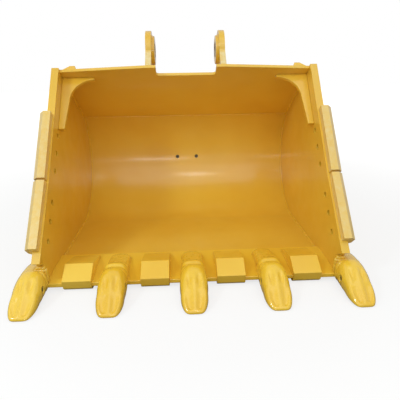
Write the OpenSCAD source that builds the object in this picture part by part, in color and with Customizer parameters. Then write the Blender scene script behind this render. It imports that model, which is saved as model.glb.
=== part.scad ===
// Heavy-duty digging bucket for a hydraulic excavator, as a welded and bolted assembly.
// Frame: origin on the arm pin axis, midway between the ears. +X to the right seen from
// the mouth's front, +Y to the back of the bowl, +Z up, with the flat floor lying level.
// Side-view outlines are drawn as [back, height]: back is Y, height is above the ground.

/* [Bowl] */
// Clear width between the two side plates
inner_w = 1290; // [900:10:1800]
// Inner radius of the rolled back
bowl_r = 365; // [320:5:440]
// Thickness of the rolled shell
shell_t = 16; // [10:1:25]
// Angle above level, seen from the roll's axis, at which the roll meets the top plate
crease_a = 40.5; // [34:0.5:48]
// Height of the arm pin's axis above the top plate's upper face, straight below it
arm_pin_rise = 187.46; // [170:0.01:240]
// Diameter of the two drain holes in the back
vent_d = 24; // [12:1:40]
// Distance of each drain hole from the middle
vent_x = 64; // [30:1:120]
// Angle of the drain holes below level, seen from the roll's axis
vent_a = 7.4; // [0:0.2:20]

/* [Top plate] */
// Thickness of the top plate
top_t = 16; // [10:1:30]
// Length of the top plate along its slope, at the corners
top_len = 523; // [440:1:600]
// Slope of the top plate
top_slope = 32.6; // [26:0.2:38]
// How much further the plate's front edge reaches at the ears than at the corners
crown = 28; // [0:1:60]
// Width of the notch between the ears
notch_w = 310; // [200:1:340]
// Depth of the notch along the slope
notch_depth = 75; // [30:1:120]
// Corner radius of the notch
notch_r = 14; // [5:1:30]

/* [Lip] */
// Thickness of the lip plate
lip_t = 50; // [40:1:70]
// Length of the lip plate from its front edge back
lip_len = 283; // [240:1:340]
// Distance of the lip's front edge ahead of the arm pin
lip_reach = 757; // [700:1:820]
// Length of the bevel on top of the lip
lip_bevel_len = 126; // [60:1:160]
// Drop of the bevel on top of the lip
lip_bevel_drop = 12; // [4:1:20]
// Height of the chamfer under the lip's front edge
lip_chamfer_h = 20; // [10:1:26]
// Length of the chamfer under the lip's front edge
lip_chamfer_len = 70; // [40:1:100]

/* [Sides] */
// Thickness of the side plates
side_t = 16; // [10:1:25]
// How far the side plates stand proud of the shell's outside
side_proud = 6; // [0:1:12]
// Thickness of the bars along the mouth's sides
bar_t = 36; // [25:1:50]
// Width of the bars, from the mouth's edge back
bar_w = 236; // [180:1:280]
// Lean of the bars' upper stretch from upright
lean_top = 37.7; // [32:0.1:42]
// Lean of the bars' lower stretch from upright
lean_low = 41.4; // [36:0.1:46]
// Length of the bars' upper stretch
bar_top_len = 620; // [520:1:700]
// Height of the bars' lower front corner above the ground
bar_chin_h = 159; // [150:1:200]
// Clear height between the teeth's rear rim and the bars' undercut
bar_undercut_gap = 10; // [6:1:20]
// Width of the inner corner gussets along the top plate
gusset_w = 165; // [120:1:220]
// Length of the inner corner gussets down the side
gusset_len = 310; // [240:1:420]
// Radius of the gussets' inner curve
gusset_r = 120; // [80:1:160]
// Depth of the gussets' inner end, measured from the top plate's upper face
gusset_rim = 24; // [18:1:60]
// Thickness of the gussets
gusset_t = 20; // [10:1:30]
// Distance of the gussets behind the bars' front edge
gusset_setback = 70; // [50:1:120]

/* [Ears] */
// Clear gap between the two ear plates
ear_gap = 357; // [345:1:420]
// Thickness of an ear plate
ear_t = 30; // [20:1:40]
// Radius of the ear around each pin
ear_r = 100; // [88:1:115]
// Distance between the two pins' axes
pin_spread = 440; // [400:1:480]
// Fall of the line from the arm pin to the link pin
pin_fall = 37; // [34:0.5:40]
// Radius of the hollow in the ear's upper edge between the pins
ear_saddle_r = 150; // [130:1:200]
// Diameter of both pins
pin_d = 80; // [60:1:90]
// Wall of the hardened bushes
bush_wall = 10; // [6:1:14]
// Outer radius of the welded bosses
boss_r = 74; // [62:1:80]
// Clear gap between facing bosses, for the arm's end
boss_gap = 326; // [300:1:340]
// How far the bosses stand out on the ears' outer side
boss_proud = 0; // [0:1:25]

/* [Teeth] */
// How far the corner teeth reach in past the side bars' inner faces
corner_overlap = 12; // [4:1:24]
// Width of a tooth at its box
tooth_w = 120; // [110:1:140]
// Reach of the tooth tips ahead of the lip
tooth_reach = 222; // [200:1:260]
// Height of the tooth's rear rim above the ground
tooth_rim_h = 117; // [114:1:122]
// Thickness of the tooth's tip
tooth_tip_t = 24; // [14:1:34]
// Width of the adapter's nose at its root
nose_w = 84; // [70:1:90]
// Diameter of the cross pin that holds a tooth
lock_pin_d = 22; // [16:1:26]
// Depth of the cross pin's ends below the tooth's sides
lock_pin_recess = 4; // [1:1:20]
// Radial play of the cross pin in its hole
lock_pin_play = 0.5; // [0.3:0.1:1]
// Play between a tooth's socket and the nose inside it
socket_play = 1; // [0.4:0.1:3]
// Width of the adapter's strap on the lip
strap_w = 96; // [80:1:110]
// Length of the adapter's strap behind the lip's front edge
strap_len = 236; // [180:1:240]
// Height of the strap's rear end above the lip
strap_end_h = 19; // [10:1:30]

/* [Lip shrouds] */
// Width of a shroud
shroud_w = 127; // [100:1:140]
// How far the inner shrouds stand towards the middle, from half way between two teeth
shroud_in_shift = 3.25; // [-8:0.25:8]
// How far the outer shrouds stand towards the middle, from half way between two teeth
shroud_out_shift = 7.75; // [-8:0.25:12]
// Length of a shroud behind the lip's front edge
shroud_len = 226; // [180:1:240]
// Height of the shroud's crest above the lip
shroud_crest_h = 52; // [30:1:60]

/* [Side protectors] */
// How far a protector stands out ahead of the bar
guard_nose = 34; // [20:1:50]
// How far a protector stands out beside the bar
guard_side = 28; // [18:1:40]
// Thickness of the protector's bolted cheek
guard_cheek_t = 20; // [12:1:28]
// Length of the protector's cheek behind the bar's front edge
guard_cheek_len = 122; // [110:1:150]
// Width of the bar's front edge that stays bare beside the protector
guard_bare = 9; // [0:1:16]
// Length of the upper protectors
guard_len_top = 345; // [320:1:350]
// Length of the lower protectors
guard_len_low = 322; // [300:1:340]
// Gap between the upper and the lower protector
guard_gap = 12; // [6:1:24]
// Distance of the bolts behind the bar's front edge
bolt_setback = 75; // [66:1:84]
// Distance between neighbouring bolts
bolt_pitch = 94; // [70:1:100]
// Diameter of the bolts' holes
bolt_hole_d = 27; // [20:1:30]
// Play of a bolt in its hole, on the diameter
bolt_play = 1; // [0.4:0.1:3]
// Size across the bolt head's flats
bolt_head_af = 41; // [32:1:46]
// Height of the bolt's head
bolt_head_h = 17; // [10:1:24]
// Depth of the bolt's end below the bar's inner face
bolt_end_gap = 14; // [4:1:20]

/* [Wear parts] */
// Thickness of the wear strips under the bowl
wear_t = 16; // [10:1:25]
// Width of a wear strip
wear_w = 80; // [50:1:120]
// Distance of the outer wear strips' middles from the side plates' inner faces
wear_margin = 105; // [60:1:200]
// Angle below level at which the strips end on the back
wear_end_a = 14; // [0:1:40]
// Height of the lugs on the top plate's corners
lug_h = 25; // [15:1:40]
// Length of a lug across the bucket
lug_w = 76; // [50:1:110]
// Thickness of a lug
lug_t = 26; // [15:1:40]

/* [Hidden] */
$fn = 96;
over = 1; // overlap that keeps cuts clean

tooth_ids = [1:5];
shroud_ids = [1:4];

paint = [0.93, 0.70, 0.16];
bare_steel = [0.42, 0.42, 0.43];
pin_steel = [0.55, 0.55, 0.56];

// Side-view points, as [back, height above the ground]
half_w = inner_w / 2;
roll_h = wear_t + shell_t + bowl_r;
roll_axis = [0, roll_h];
floor_h = wear_t + shell_t;
lip_front = -lip_reach;
lip_back = lip_front + lip_len;
mitre_a = 90 - top_slope - crease_a; // angle between the plate's normal and the roll's radius
joint_cut = 18; // weld chamfer behind the lip
top_reach = top_len + crown;
ear_out = ear_gap / 2 + ear_t; // outer face of an ear
boss_in = boss_gap / 2;
boss_out = ear_out + boss_proud;
bush_r = pin_d / 2 + bush_wall;

function around_roll(a, r) = roll_axis + r * [cos(a), sin(a)];
// Point on the top plate: along from the crease up the slope, out square to the plate
function on_top(along, out) = around_roll(crease_a, bowl_r)
    + along * [-cos(top_slope), sin(top_slope)] + out * [sin(top_slope), cos(top_slope)];
function crease_out(d) = around_roll(crease_a, bowl_r + d / cos(mitre_a));
// Directions up along a bar that leans back, and square to it towards the back
function up_dir(lean) = [sin(lean), cos(lean)];
function back_dir(lean) = [cos(lean), -sin(lean)];
// Where the line from p along d crosses the line through q that is square to n
function meet(p, d, q, n) = p + d * ((q - p) * n) / (d * n);
// Where the tangent from point p touches the circle about c, on the side given by +1 or -1
function tangent(c, r, p, side) =
    let (v = p - c, a = atan2(v.y, v.x) + side * acos(r / norm(v))) c + r * [cos(a), sin(a)];

// The pins: the arm pin stands over the top plate, and the link pin lies behind and below
top_normal = [sin(top_slope), cos(top_slope)];
under_pin = meet([0, 0], [0, 1], on_top(0, top_t), top_normal);
arm_pin_h = under_pin.y + arm_pin_rise;
arm_pin = [0, arm_pin_h];
link_pin = arm_pin + pin_spread * [cos(pin_fall), -sin(pin_fall)];

// The bar's outline: front edge from the top, its bend and its chin, and the rear edge
bar_ahead = 5; // lead of the bar's edge over the top plate's corner
bar_head = meet(on_top(top_len, 0) - [bar_ahead, 0], [0, 1], on_top(0, top_t), top_normal);
bar_bend = bar_head - bar_top_len * up_dir(lean_top);
bar_chin = meet(bar_bend, up_dir(lean_low), [0, bar_chin_h], [0, 1]);
bar_heel = [lip_front + 12, tooth_rim_h + bar_undercut_gap];
lean_mid = (lean_top + lean_low) / 2;
rear_bend = bar_bend + bar_w / cos((lean_low - lean_top) / 2) * back_dir(lean_mid);
rear_head = meet(rear_bend, up_dir(lean_top), on_top(0, top_t), top_normal);
rear_foot = meet(rear_bend, up_dir(lean_low), [0, floor_h], [0, 1]);

// Teeth and adapters, placed from the lip's front edge
tooth_pitch = (half_w - corner_overlap + tooth_w / 2) / 2;
lip_out_x = 2 * tooth_pitch + tooth_w / 2 - 7; // half width of the lip
tooth_rear = lip_front - 32;
tip_front = lip_front - tooth_reach;
lock_pin_at = [lip_front - 78, 56];
nose_root = lip_front - 10;
nose_lead_in = 8; // stretch of full nose behind its root, up to just short of the lip
nose_end = lip_front - 138;
nose_root_h = [15, 100];
nose_end_h = [24, 54];
nose_end_share = 0.72; // width of the nose's end as a share of its root
lock_pin_out = 120; // travel that drives the pin clear of the tooth
lock_pin_len = tooth_w - 2 * lock_pin_recess;
shroud_in_x = tooth_pitch / 2 - shroud_in_shift;
shroud_out_x = 3 * tooth_pitch / 2 - shroud_out_shift;
wear_pitch = (half_w - wear_margin) / 2;

function tooth_x(i) = (i - 3) * tooth_pitch;
function shroud_x(i) = [-shroud_out_x, -shroud_in_x, shroud_in_x, shroud_out_x][i - 1];
function wear_x(i) = (i - 3) * wear_pitch;

// Protectors and bolts: distances along the bar's front edge, from its head down
guard_low_at = bar_top_len + guard_gap / 2;
guard_top_at = bar_top_len - guard_gap / 2 - guard_len_top;
guard_in_x = half_w + guard_bare;
guard_out_x = half_w + bar_t + guard_side;
cheek_x = half_w + bar_t + guard_cheek_t;
guard_bevel = 20;
cheek_bevel = 8;
bolt_chamfer = 1.5;

module slab(x0, w) {
    translate([x0, 0, -arm_pin_h]) rotate([90, 0, 90]) linear_extrude(w) children();
}

// A left copy is the right one mirrored
module sided(side) {
    mirror([side == "left" ? 1 : 0, 0, 0]) children();
}

// Sector of the roll's circle between two angles, out to radius r
module sector(from_a, to_a, r) {
    reach = 2 * r;
    intersection() {
        translate(roll_axis) circle(r, $fn = 180);
        polygon([
            roll_axis,
            around_roll(from_a, reach),
            around_roll((from_a + to_a) / 2, reach),
            around_roll(to_a, reach)
        ]);
    }
}

// Side view of the whole bowl, grown outwards by d from its inner faces
module bowl_outline(d) {
    sector(-90, crease_a, bowl_r + d);
    polygon([
        around_roll((crease_a - 90) / 2, bowl_r / 2),
        [0, floor_h - d],
        [lip_back, floor_h - d],
        [lip_back, floor_h],
        [lip_front, floor_h],
        bar_chin,
        on_top(top_reach + over, 0),
        on_top(top_reach + over, d),
        crease_out(d)
    ]);
}

module lip_outline() {
    polygon([
        [lip_back, 0],
        [lip_front + lip_chamfer_len, 0],
        [lip_front, lip_chamfer_h],
        [lip_front, lip_t - lip_bevel_drop],
        [lip_front + lip_bevel_len, lip_t],
        [lip_back - joint_cut, lip_t],
        [lip_back, floor_h]
    ]);
}

module wrapper_shell() {
    color(paint) difference() {
        slab(-half_w, inner_w) {
            difference() {
                sector(-90, crease_a, bowl_r + shell_t);
                translate(roll_axis) circle(bowl_r, $fn = 180);
            }
            translate([lip_back, floor_h - shell_t]) square([-lip_back, shell_t]);
        }
        for (x = [-vent_x, vent_x])
            translate([x, 0, roll_h - arm_pin_h])
                rotate([90 - vent_a, 0, 0])
                    translate([0, 0, -bowl_r - 2 * shell_t])
                        cylinder(d = vent_d, h = 3 * shell_t);
    }
}

module notch() {
    translate([-notch_w / 2, notch_r]) square([notch_w, notch_depth + over]);
    translate([-notch_w / 2 + notch_r, 0]) square([notch_w - 2 * notch_r, 2 * notch_r]);
    for (x = [-1, 1])
        translate([x * (notch_w / 2 - notch_r), notch_r]) circle(notch_r);
}

module top_plate() {
    color(paint) intersection() {
        slab(-half_w, inner_w)
            polygon([
                around_roll(crease_a, bowl_r),
                crease_out(top_t),
                on_top(top_reach + over, top_t),
                on_top(top_reach + over, 0)
            ]);
        translate([0, on_top(0, 0).x, on_top(0, 0).y - arm_pin_h])
            rotate([180 - top_slope, 0, 0])
                translate([0, 0, -2 * top_t])
                    linear_extrude(3 * top_t) difference() {
                        polygon([
                            [-half_w, -2 * top_t],
                            [half_w, -2 * top_t],
                            [half_w, top_len],
                            [ear_out, top_reach],
                            [-ear_out, top_reach],
                            [-half_w, top_len]
                        ]);
                        translate([0, top_reach - notch_depth]) notch();
                    }
    }
}

module lip_plate() {
    corner = 85; // slanted rear corners outside the side plates
    color(paint) intersection() {
        slab(-lip_out_x, 2 * lip_out_x) lip_outline();
        translate([0, 0, -arm_pin_h - over])
            linear_extrude(lip_t + 2 * over)
                polygon([
                    [-lip_out_x, lip_front],
                    [lip_out_x, lip_front],
                    [lip_out_x, lip_back - corner],
                    [half_w + side_t + side_proud, lip_back],
                    [-half_w - side_t - side_proud, lip_back],
                    [-lip_out_x, lip_back - corner]
                ]);
    }
}

module bar_outline() {
    difference() {
        polygon([
            bar_head,
            bar_bend,
            bar_chin,
            bar_heel,
            [bar_heel.x, floor_h],
            rear_foot,
            rear_bend,
            rear_head
        ]);
        lip_outline();
    }
}

module side_plate() {
    color(paint) slab(half_w, side_t) difference() {
        bowl_outline(shell_t + side_proud);
        polygon([
            rear_foot,
            rear_bend,
            rear_head,
            rear_head + 2 * side_proud * top_normal,
            rear_head + [-bar_w, bar_w] * 2,
            [bar_chin.x - bar_w, 0],
            [rear_foot.x, 0]
        ]);
        lip_outline();
    }
}

// Puts its children at each bolt of a bar: x along the bolt, out of the bucket
module at_bolts(row) {
    start = row == "upper" ? bar_head : bar_bend;
    lean = row == "upper" ? lean_top : lean_low;
    middle = row == "upper" ? guard_top_at + guard_len_top / 2
                            : guard_gap / 2 + guard_len_low / 2;
    for (k = [-1:1]) {
        at = start - (middle + k * bolt_pitch) * up_dir(lean) + bolt_setback * back_dir(lean);
        translate([0, at.x, at.y - arm_pin_h]) rotate([0, 90, 0]) children();
    }
}

module side_bar() {
    color(paint) difference() {
        slab(half_w, bar_t) bar_outline();
        for (row = ["upper", "lower"])
            at_bolts(row) cylinder(d = bolt_hole_d, h = half_w + bar_t + over);
    }
}

// Web across the corner under the top plate, with a leg down the side plate
module corner_gusset() {
    leg_end_w = 30;
    curve_at = [half_w - gusset_w, -gusset_rim - gusset_r];
    color(paint) intersection() {
        slab(0, half_w) bowl_outline(0);
        translate([0, bar_head.x, bar_head.y - arm_pin_h])
            rotate([90 - lean_top, 0, 0])
                translate([0, 0, -gusset_setback - gusset_t])
                    linear_extrude(gusset_t) difference() {
                        polygon([
                            [half_w, gusset_r],
                            [half_w - gusset_w, gusset_r],
                            curve_at,
                            curve_at + [gusset_r, 0],
                            [half_w - leg_end_w, -gusset_len],
                            [half_w, -gusset_len]
                        ]);
                        translate(curve_at) circle(gusset_r);
                    }
    }
}

// Plate lug across the top plate's corner, steep inside and sloping to the outside
module top_corner_lug() {
    inset = 6; // distance of the lug's outer end from the side plate
    front_gap = 8; // distance of the lug from the top plate's front edge
    steep = 8;
    slope_share = 0.55;
    out_x = half_w - inset;
    at = on_top(top_len - front_gap - lug_t, top_t);
    color(paint) translate([0, at.x, at.y - arm_pin_h])
        rotate([90 - top_slope, 0, 0])
            linear_extrude(lug_t)
                polygon([
                    [out_x - lug_w, 0],
                    [out_x - lug_w + steep, lug_h],
                    [out_x - lug_w * slope_share, lug_h],
                    [out_x, over],
                    [out_x, 0]
                ]);
}

module ear_outline() {
    toe_front = on_top(top_reach - over, top_t);
    toe_back = around_roll(5, bowl_r + shell_t);
    inside_front = on_top(top_len * 0.8, -shell_t);
    inside_back = around_roll(crease_a / 2, bowl_r - shell_t);
    half_spread = pin_spread / 2;
    rise = sqrt(pow(ear_saddle_r + ear_r, 2) - pow(half_spread, 2));
    saddle = (arm_pin + link_pin) / 2 + rise * [sin(pin_fall), cos(pin_fall)];
    difference() {
        union() {
            translate(arm_pin) circle(ear_r);
            translate(link_pin) circle(ear_r);
            polygon([
                arm_pin - [ear_r, 0],
                toe_front,
                inside_front,
                inside_back,
                toe_back,
                tangent(link_pin, ear_r, toe_back, 1),
                link_pin,
                saddle,
                arm_pin
            ]);
        }
        translate(saddle) circle(ear_saddle_r);
        bowl_outline(shell_t);
    }
}

module ear_hole(at) {
    translate([0, at.x, at.y - arm_pin_h]) rotate([0, 90, 0]) cylinder(r = boss_r, h = half_w);
}

module hinge_ear() {
    color(paint) difference() {
        slab(ear_gap / 2, ear_t) ear_outline();
        ear_hole(arm_pin);
        ear_hole(link_pin);
    }
}

// Ring about a pin's axis, filling the ear's hole or the boss inside it
module pin_ring(at, outer_r, inner_r) {
    translate([boss_in, at.x, at.y - arm_pin_h]) rotate([0, 90, 0]) difference() {
        cylinder(r = outer_r, h = boss_out - boss_in);
        translate([0, 0, -over]) cylinder(r = inner_r, h = boss_out - boss_in + 2 * over);
    }
}

module pin_boss(at) {
    color(paint) pin_ring(at, boss_r, bush_r);
}

module pin_bush(at) {
    color(bare_steel) pin_ring(at, bush_r, pin_d / 2);
}

// Side view of the adapter's nose, grown by the play d for the socket around it
module nose_outline(d) {
    polygon([
        [nose_root + nose_lead_in, nose_root_h[0] - d],
        [nose_root + nose_lead_in, nose_root_h[1] + d],
        [nose_root, nose_root_h[1] + d],
        [nose_end - d, nose_end_h[1] + d],
        [nose_end - d, nose_end_h[0] - d],
        [nose_root, nose_root_h[0] - d]
    ]);
}

// Plan view of the nose, grown by d
module nose_plan(d) {
    root = nose_w / 2 + d;
    end = nose_w / 2 * nose_end_share + d;
    polygon([
        [-root, nose_root + nose_lead_in],
        [root, nose_root + nose_lead_in],
        [root, nose_root],
        [end, nose_end - d],
        [-end, nose_end - d],
        [-root, nose_root]
    ]);
}

// Stands a plan-view outline up through the teeth's height
module plan_cut() {
    translate([0, 0, -arm_pin_h - over])
        linear_extrude(2 * tooth_rim_h) children();
}

module nose(d) {
    intersection() {
        slab(-tooth_w / 2, tooth_w) nose_outline(d);
        plan_cut() nose_plan(d);
    }
}

module lock_pin_hole() {
    translate([-tooth_w / 2 - over, lock_pin_at.x, lock_pin_at.y - arm_pin_h])
        rotate([0, 90, 0])
            cylinder(d = lock_pin_d + 2 * lock_pin_play, h = tooth_w + 2 * over);
}

// Strap on the lip, step, shoulder behind the tooth and short jaw under the lip
module adapter_strap() {
    step = [lip_front + 36, 107];
    shoulder_w = tooth_w - 8;
    jaw_end = lip_front + lip_chamfer_len - 14;
    strap_back = lip_front + strap_len;
    gap = 4; // between the shoulder and the tooth's rear rim
    intersection() {
        slab(-tooth_w / 2, tooth_w) difference() {
            polygon([
                [strap_back, floor_h],
                [strap_back, lip_t + strap_end_h],
                step,
                [tooth_rear + gap, tooth_rim_h - 8],
                [tooth_rear + gap + 14, 0],
                [jaw_end, 0],
                [jaw_end, floor_h]
            ]);
            lip_outline();
        }
        plan_cut() {
            translate([0, strap_back - strap_w / 2]) circle(strap_w / 2);
            polygon([
                [-strap_w / 2, strap_back - strap_w / 2],
                [strap_w / 2, strap_back - strap_w / 2],
                [shoulder_w / 2, step.x],
                [shoulder_w / 2, tip_front],
                [-shoulder_w / 2, tip_front],
                [-shoulder_w / 2, step.x]
            ]);
        }
    }
}

module adapter(i) {
    x = tooth_x(i);
    corner = i == 1 || i == 5;
    color(paint) difference() {
        translate([x, 0, 0]) {
            adapter_strap();
            nose(0);
        }
        translate([x, 0, 0]) lock_pin_hole();
        // The corner adapters' straps lie outside the side bars
        if (corner)
            translate([-half_w - bar_t, bar_heel.x - 10, -arm_pin_h + lip_chamfer_h])
                cube([inner_w + 2 * bar_t, lip_len, tooth_rim_h]);
    }
}

module tooth(i) {
    waist = [tip_front + 84, 100];
    tip_w = 100;
    blunt = 56; // flat width of the tip's end
    corner_len = 26;
    color(paint) translate([tooth_x(i), 0, 0]) difference() {
        intersection() {
            slab(-tooth_w / 2, tooth_w)
                polygon([
                    [tooth_rear, tooth_rim_h],
                    [tooth_rear - 44, tooth_rim_h - 6],
                    [tip_front + 70, 72],
                    [tip_front, tooth_tip_t + 2],
                    [tip_front, 2],
                    [tip_front + 20, 0],
                    [tooth_rear + 14, 0]
                ]);
            plan_cut()
                polygon([
                    [-tooth_w / 2, tooth_rear + 20],
                    [tooth_w / 2, tooth_rear + 20],
                    [tooth_w / 2, waist.x],
                    [tip_w / 2, tip_front + corner_len],
                    [blunt / 2, tip_front],
                    [-blunt / 2, tip_front],
                    [-tip_w / 2, tip_front + corner_len],
                    [-tooth_w / 2, waist.x]
                ]);
        }
        nose(socket_play);
        lock_pin_hole();
    }
}

module tooth_pin(i) {
    chamfer = 2;
    color(pin_steel)
        translate([tooth_x(i) - lock_pin_len / 2, lock_pin_at.x, lock_pin_at.y - arm_pin_h])
            rotate([0, 90, 0]) rotate_extrude()
                polygon([
                    [0, 0],
                    [lock_pin_d / 2 - chamfer, 0],
                    [lock_pin_d / 2, chamfer],
                    [lock_pin_d / 2, lock_pin_len - chamfer],
                    [lock_pin_d / 2 - chamfer, lock_pin_len],
                    [0, lock_pin_len]
                ]);
}

module lip_shroud(i) {
    nose_reach = 17;
    jaw_wall = 10; // thickness of the short jaw under the lip's chamfer
    back_end = lip_front + shroud_len;
    jaw_end = lip_front + lip_chamfer_len - 20;
    color(paint) slab(shroud_x(i) - shroud_w / 2, shroud_w) difference() {
        polygon([
            [back_end, floor_h],
            [back_end, lip_t + 12],
            [lip_front + 64, lip_t + shroud_crest_h],
            [lip_front - nose_reach, lip_t + 5],
            [lip_front - jaw_wall / 2, lip_chamfer_h - jaw_wall / 2],
            [lip_front + jaw_wall, jaw_wall / 5],
            [jaw_end, jaw_wall / 5],
            [jaw_end, floor_h]
        ]);
        lip_outline();
    }
}

// Channel-shaped guard on the bar's front edge, bolted through its outer cheek
module side_protector(row) {
    upper = row == "upper";
    start = upper ? bar_head : bar_bend;
    lean = upper ? lean_top : lean_low;
    from_top = upper ? guard_top_at : guard_gap / 2;
    length = upper ? guard_len_top : guard_len_low;
    foot = start - (from_top + length) * up_dir(lean);
    color(paint) difference() {
        translate([0, foot.x, foot.y - arm_pin_h])
            rotate([-lean, 0, 0])
                linear_extrude(length)
                    polygon([
                        [guard_in_x, 0],
                        [guard_in_x, -guard_nose],
                        [guard_out_x - guard_bevel, -guard_nose],
                        [guard_out_x, -guard_nose + guard_bevel],
                        [guard_out_x, guard_nose],
                        [cheek_x, guard_nose + cheek_bevel],
                        [cheek_x, guard_cheek_len - cheek_bevel],
                        [cheek_x - cheek_bevel, guard_cheek_len],
                        [half_w + bar_t, guard_cheek_len],
                        [half_w + bar_t, 0]
                    ]);
        at_bolts(row) cylinder(d = bolt_hole_d, h = guard_out_x + over);
    }
}

module protector_bolts(row) {
    shank_r = (bolt_hole_d - bolt_play) / 2;
    shank_in = half_w + bolt_end_gap;
    color(paint) at_bolts(row) {
        translate([0, 0, shank_in]) cylinder(r = shank_r, h = cheek_x - shank_in + over);
        translate([0, 0, cheek_x])
            cylinder(d = bolt_head_af / cos(30), h = bolt_head_h - bolt_chamfer, $fn = 6);
        translate([0, 0, cheek_x]) cylinder(d = bolt_head_af - 2 * bolt_chamfer, h = bolt_head_h);
    }
}

module wear_strip(i) {
    color(paint) slab(wear_x(i) - wear_w / 2, wear_w) {
        difference() {
            sector(-90, -wear_end_a, bowl_r + shell_t + wear_t);
            translate(roll_axis) circle(bowl_r + shell_t, $fn = 180);
        }
        translate([lip_back, 0]) square([-lip_back, wear_t]);
    }
}

wrapper_shell();
top_plate();
lip_plate();

for (side = ["left", "right"]) {
    sided(side) side_plate();
    sided(side) side_bar();
    sided(side) corner_gusset();
    sided(side) top_corner_lug();
    sided(side) hinge_ear();
    sided(side) pin_boss(arm_pin);
    sided(side) pin_bush(arm_pin);
    sided(side) pin_boss(link_pin);
    sided(side) pin_bush(link_pin);
    for (row = ["upper", "lower"]) {
        sided(side) side_protector(row);
        sided(side) protector_bolts(row);
    }
}

for (i = tooth_ids) {
    adapter(i);
    tooth(i);
    tooth_pin(i);
    wear_strip(i);
}

for (i = shroud_ids)
    lip_shroud(i);
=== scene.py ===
# %% [markdown]
# # A digging bucket, dressed for its portrait
#
# The bucket arrives as a finished assembly of plates, castings, pins and bolts, every
# piece already in its place and at its size. Nothing here moves or resizes it. What is
# left to make is what an eye sees on the real thing: castings with soft corners and
# fluted teeth, flame-cut plates with broken edges, rippled weld beads, and one thick
# coat of gloss enamel over everything.
#
# All lengths in this file are metres. The origin lies on the arm pin's axis, with +Y
# towards the back of the bowl and +Z up. The helper `mm` turns millimetres to metres,
# because a fabricator's drawing speaks millimetres.

# %% Load the assembly
import math

import bmesh
import bpy
import numpy as np
from mathutils import Matrix, Vector


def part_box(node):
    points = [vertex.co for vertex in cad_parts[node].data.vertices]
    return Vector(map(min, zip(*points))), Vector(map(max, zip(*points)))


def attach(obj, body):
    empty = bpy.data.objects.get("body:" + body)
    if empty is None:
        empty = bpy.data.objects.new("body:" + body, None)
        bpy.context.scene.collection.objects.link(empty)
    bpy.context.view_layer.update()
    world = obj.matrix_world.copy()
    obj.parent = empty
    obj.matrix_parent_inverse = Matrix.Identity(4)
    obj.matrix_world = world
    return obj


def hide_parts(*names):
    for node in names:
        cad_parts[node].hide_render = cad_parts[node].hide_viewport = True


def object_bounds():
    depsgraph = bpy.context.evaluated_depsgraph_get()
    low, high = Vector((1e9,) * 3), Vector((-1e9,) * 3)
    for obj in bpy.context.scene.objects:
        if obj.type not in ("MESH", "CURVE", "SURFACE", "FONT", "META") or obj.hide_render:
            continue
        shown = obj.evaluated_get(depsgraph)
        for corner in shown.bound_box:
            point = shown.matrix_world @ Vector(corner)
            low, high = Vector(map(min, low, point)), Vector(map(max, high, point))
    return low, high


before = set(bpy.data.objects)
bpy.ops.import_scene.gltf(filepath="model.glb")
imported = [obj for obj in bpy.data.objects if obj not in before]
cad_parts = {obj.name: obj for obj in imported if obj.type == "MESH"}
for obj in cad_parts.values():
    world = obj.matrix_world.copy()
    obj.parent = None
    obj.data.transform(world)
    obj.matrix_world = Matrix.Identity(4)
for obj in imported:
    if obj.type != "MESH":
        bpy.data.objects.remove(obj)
cad_low, cad_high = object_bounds()
ground = cad_low[2]


def mm(*values):
    """Millimetres to metres: a number for one value, an array for several."""
    scaled = np.array(values, float) / 1000
    return float(scaled[0]) if len(values) == 1 else scaled


print("ground at", round(ground, 4), "size", np.round(np.subtract(cad_high, cad_low), 3))

# %% [markdown]
# ## One way to build a mesh
#
# Every new surface below is a grid of points: rows of a closed section carried along a
# path. The grid is worked out with numpy as whole arrays, and this helper turns it into
# a closed mesh. Ends are closed with one polygon each. Normals are recalculated at the
# end, so a section may run either way round.

# %% Grids to closed meshes
BODY = "bucket"


def put(name, data):
    """A new object that holds some data, linked to the scene."""
    thing = bpy.data.objects.new(name, data)
    bpy.context.scene.collection.objects.link(thing)
    return thing


def closed_tubes(name, grids):
    """One mesh from several tubes. A tube is an array (rows, points, 3): each row is a closed
    loop, neighbouring rows are joined by quads, and the first and last rows are capped."""
    verts, faces, start = [], [], 0
    for grid in grids:
        rows, count = grid.shape[:2]
        verts.append(grid.reshape(-1, 3))
        index = start + np.arange(rows * count).reshape(rows, count)
        after = np.roll(index, -1, axis=1)
        quads = np.stack([index[:-1], after[:-1], after[1:], index[1:]], axis=-1)
        faces += quads.reshape(-1, 4).tolist()
        faces += [index[0][::-1].tolist(), index[-1].tolist()]
        start += rows * count
    mesh = bpy.data.meshes.new(name)
    mesh.from_pydata(np.concatenate(verts).tolist(), [], faces)
    work = bmesh.new()
    work.from_mesh(mesh)
    bmesh.ops.recalc_face_normals(work, faces=work.faces)
    work.to_mesh(mesh)
    work.free()
    mesh.shade_smooth()
    return put(name, mesh)


def finish_piece(piece, material, body=BODY, stands_for=()):
    """Gives a piece its material and its body, and hides the nodes that it stands for."""
    piece.data.materials.clear()
    piece.data.materials.append(material)
    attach(piece, body)
    if stands_for:
        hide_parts(*stands_for)
    return piece


print("pieces ride on", BODY, "unless told otherwise; coarse grids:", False)
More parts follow.
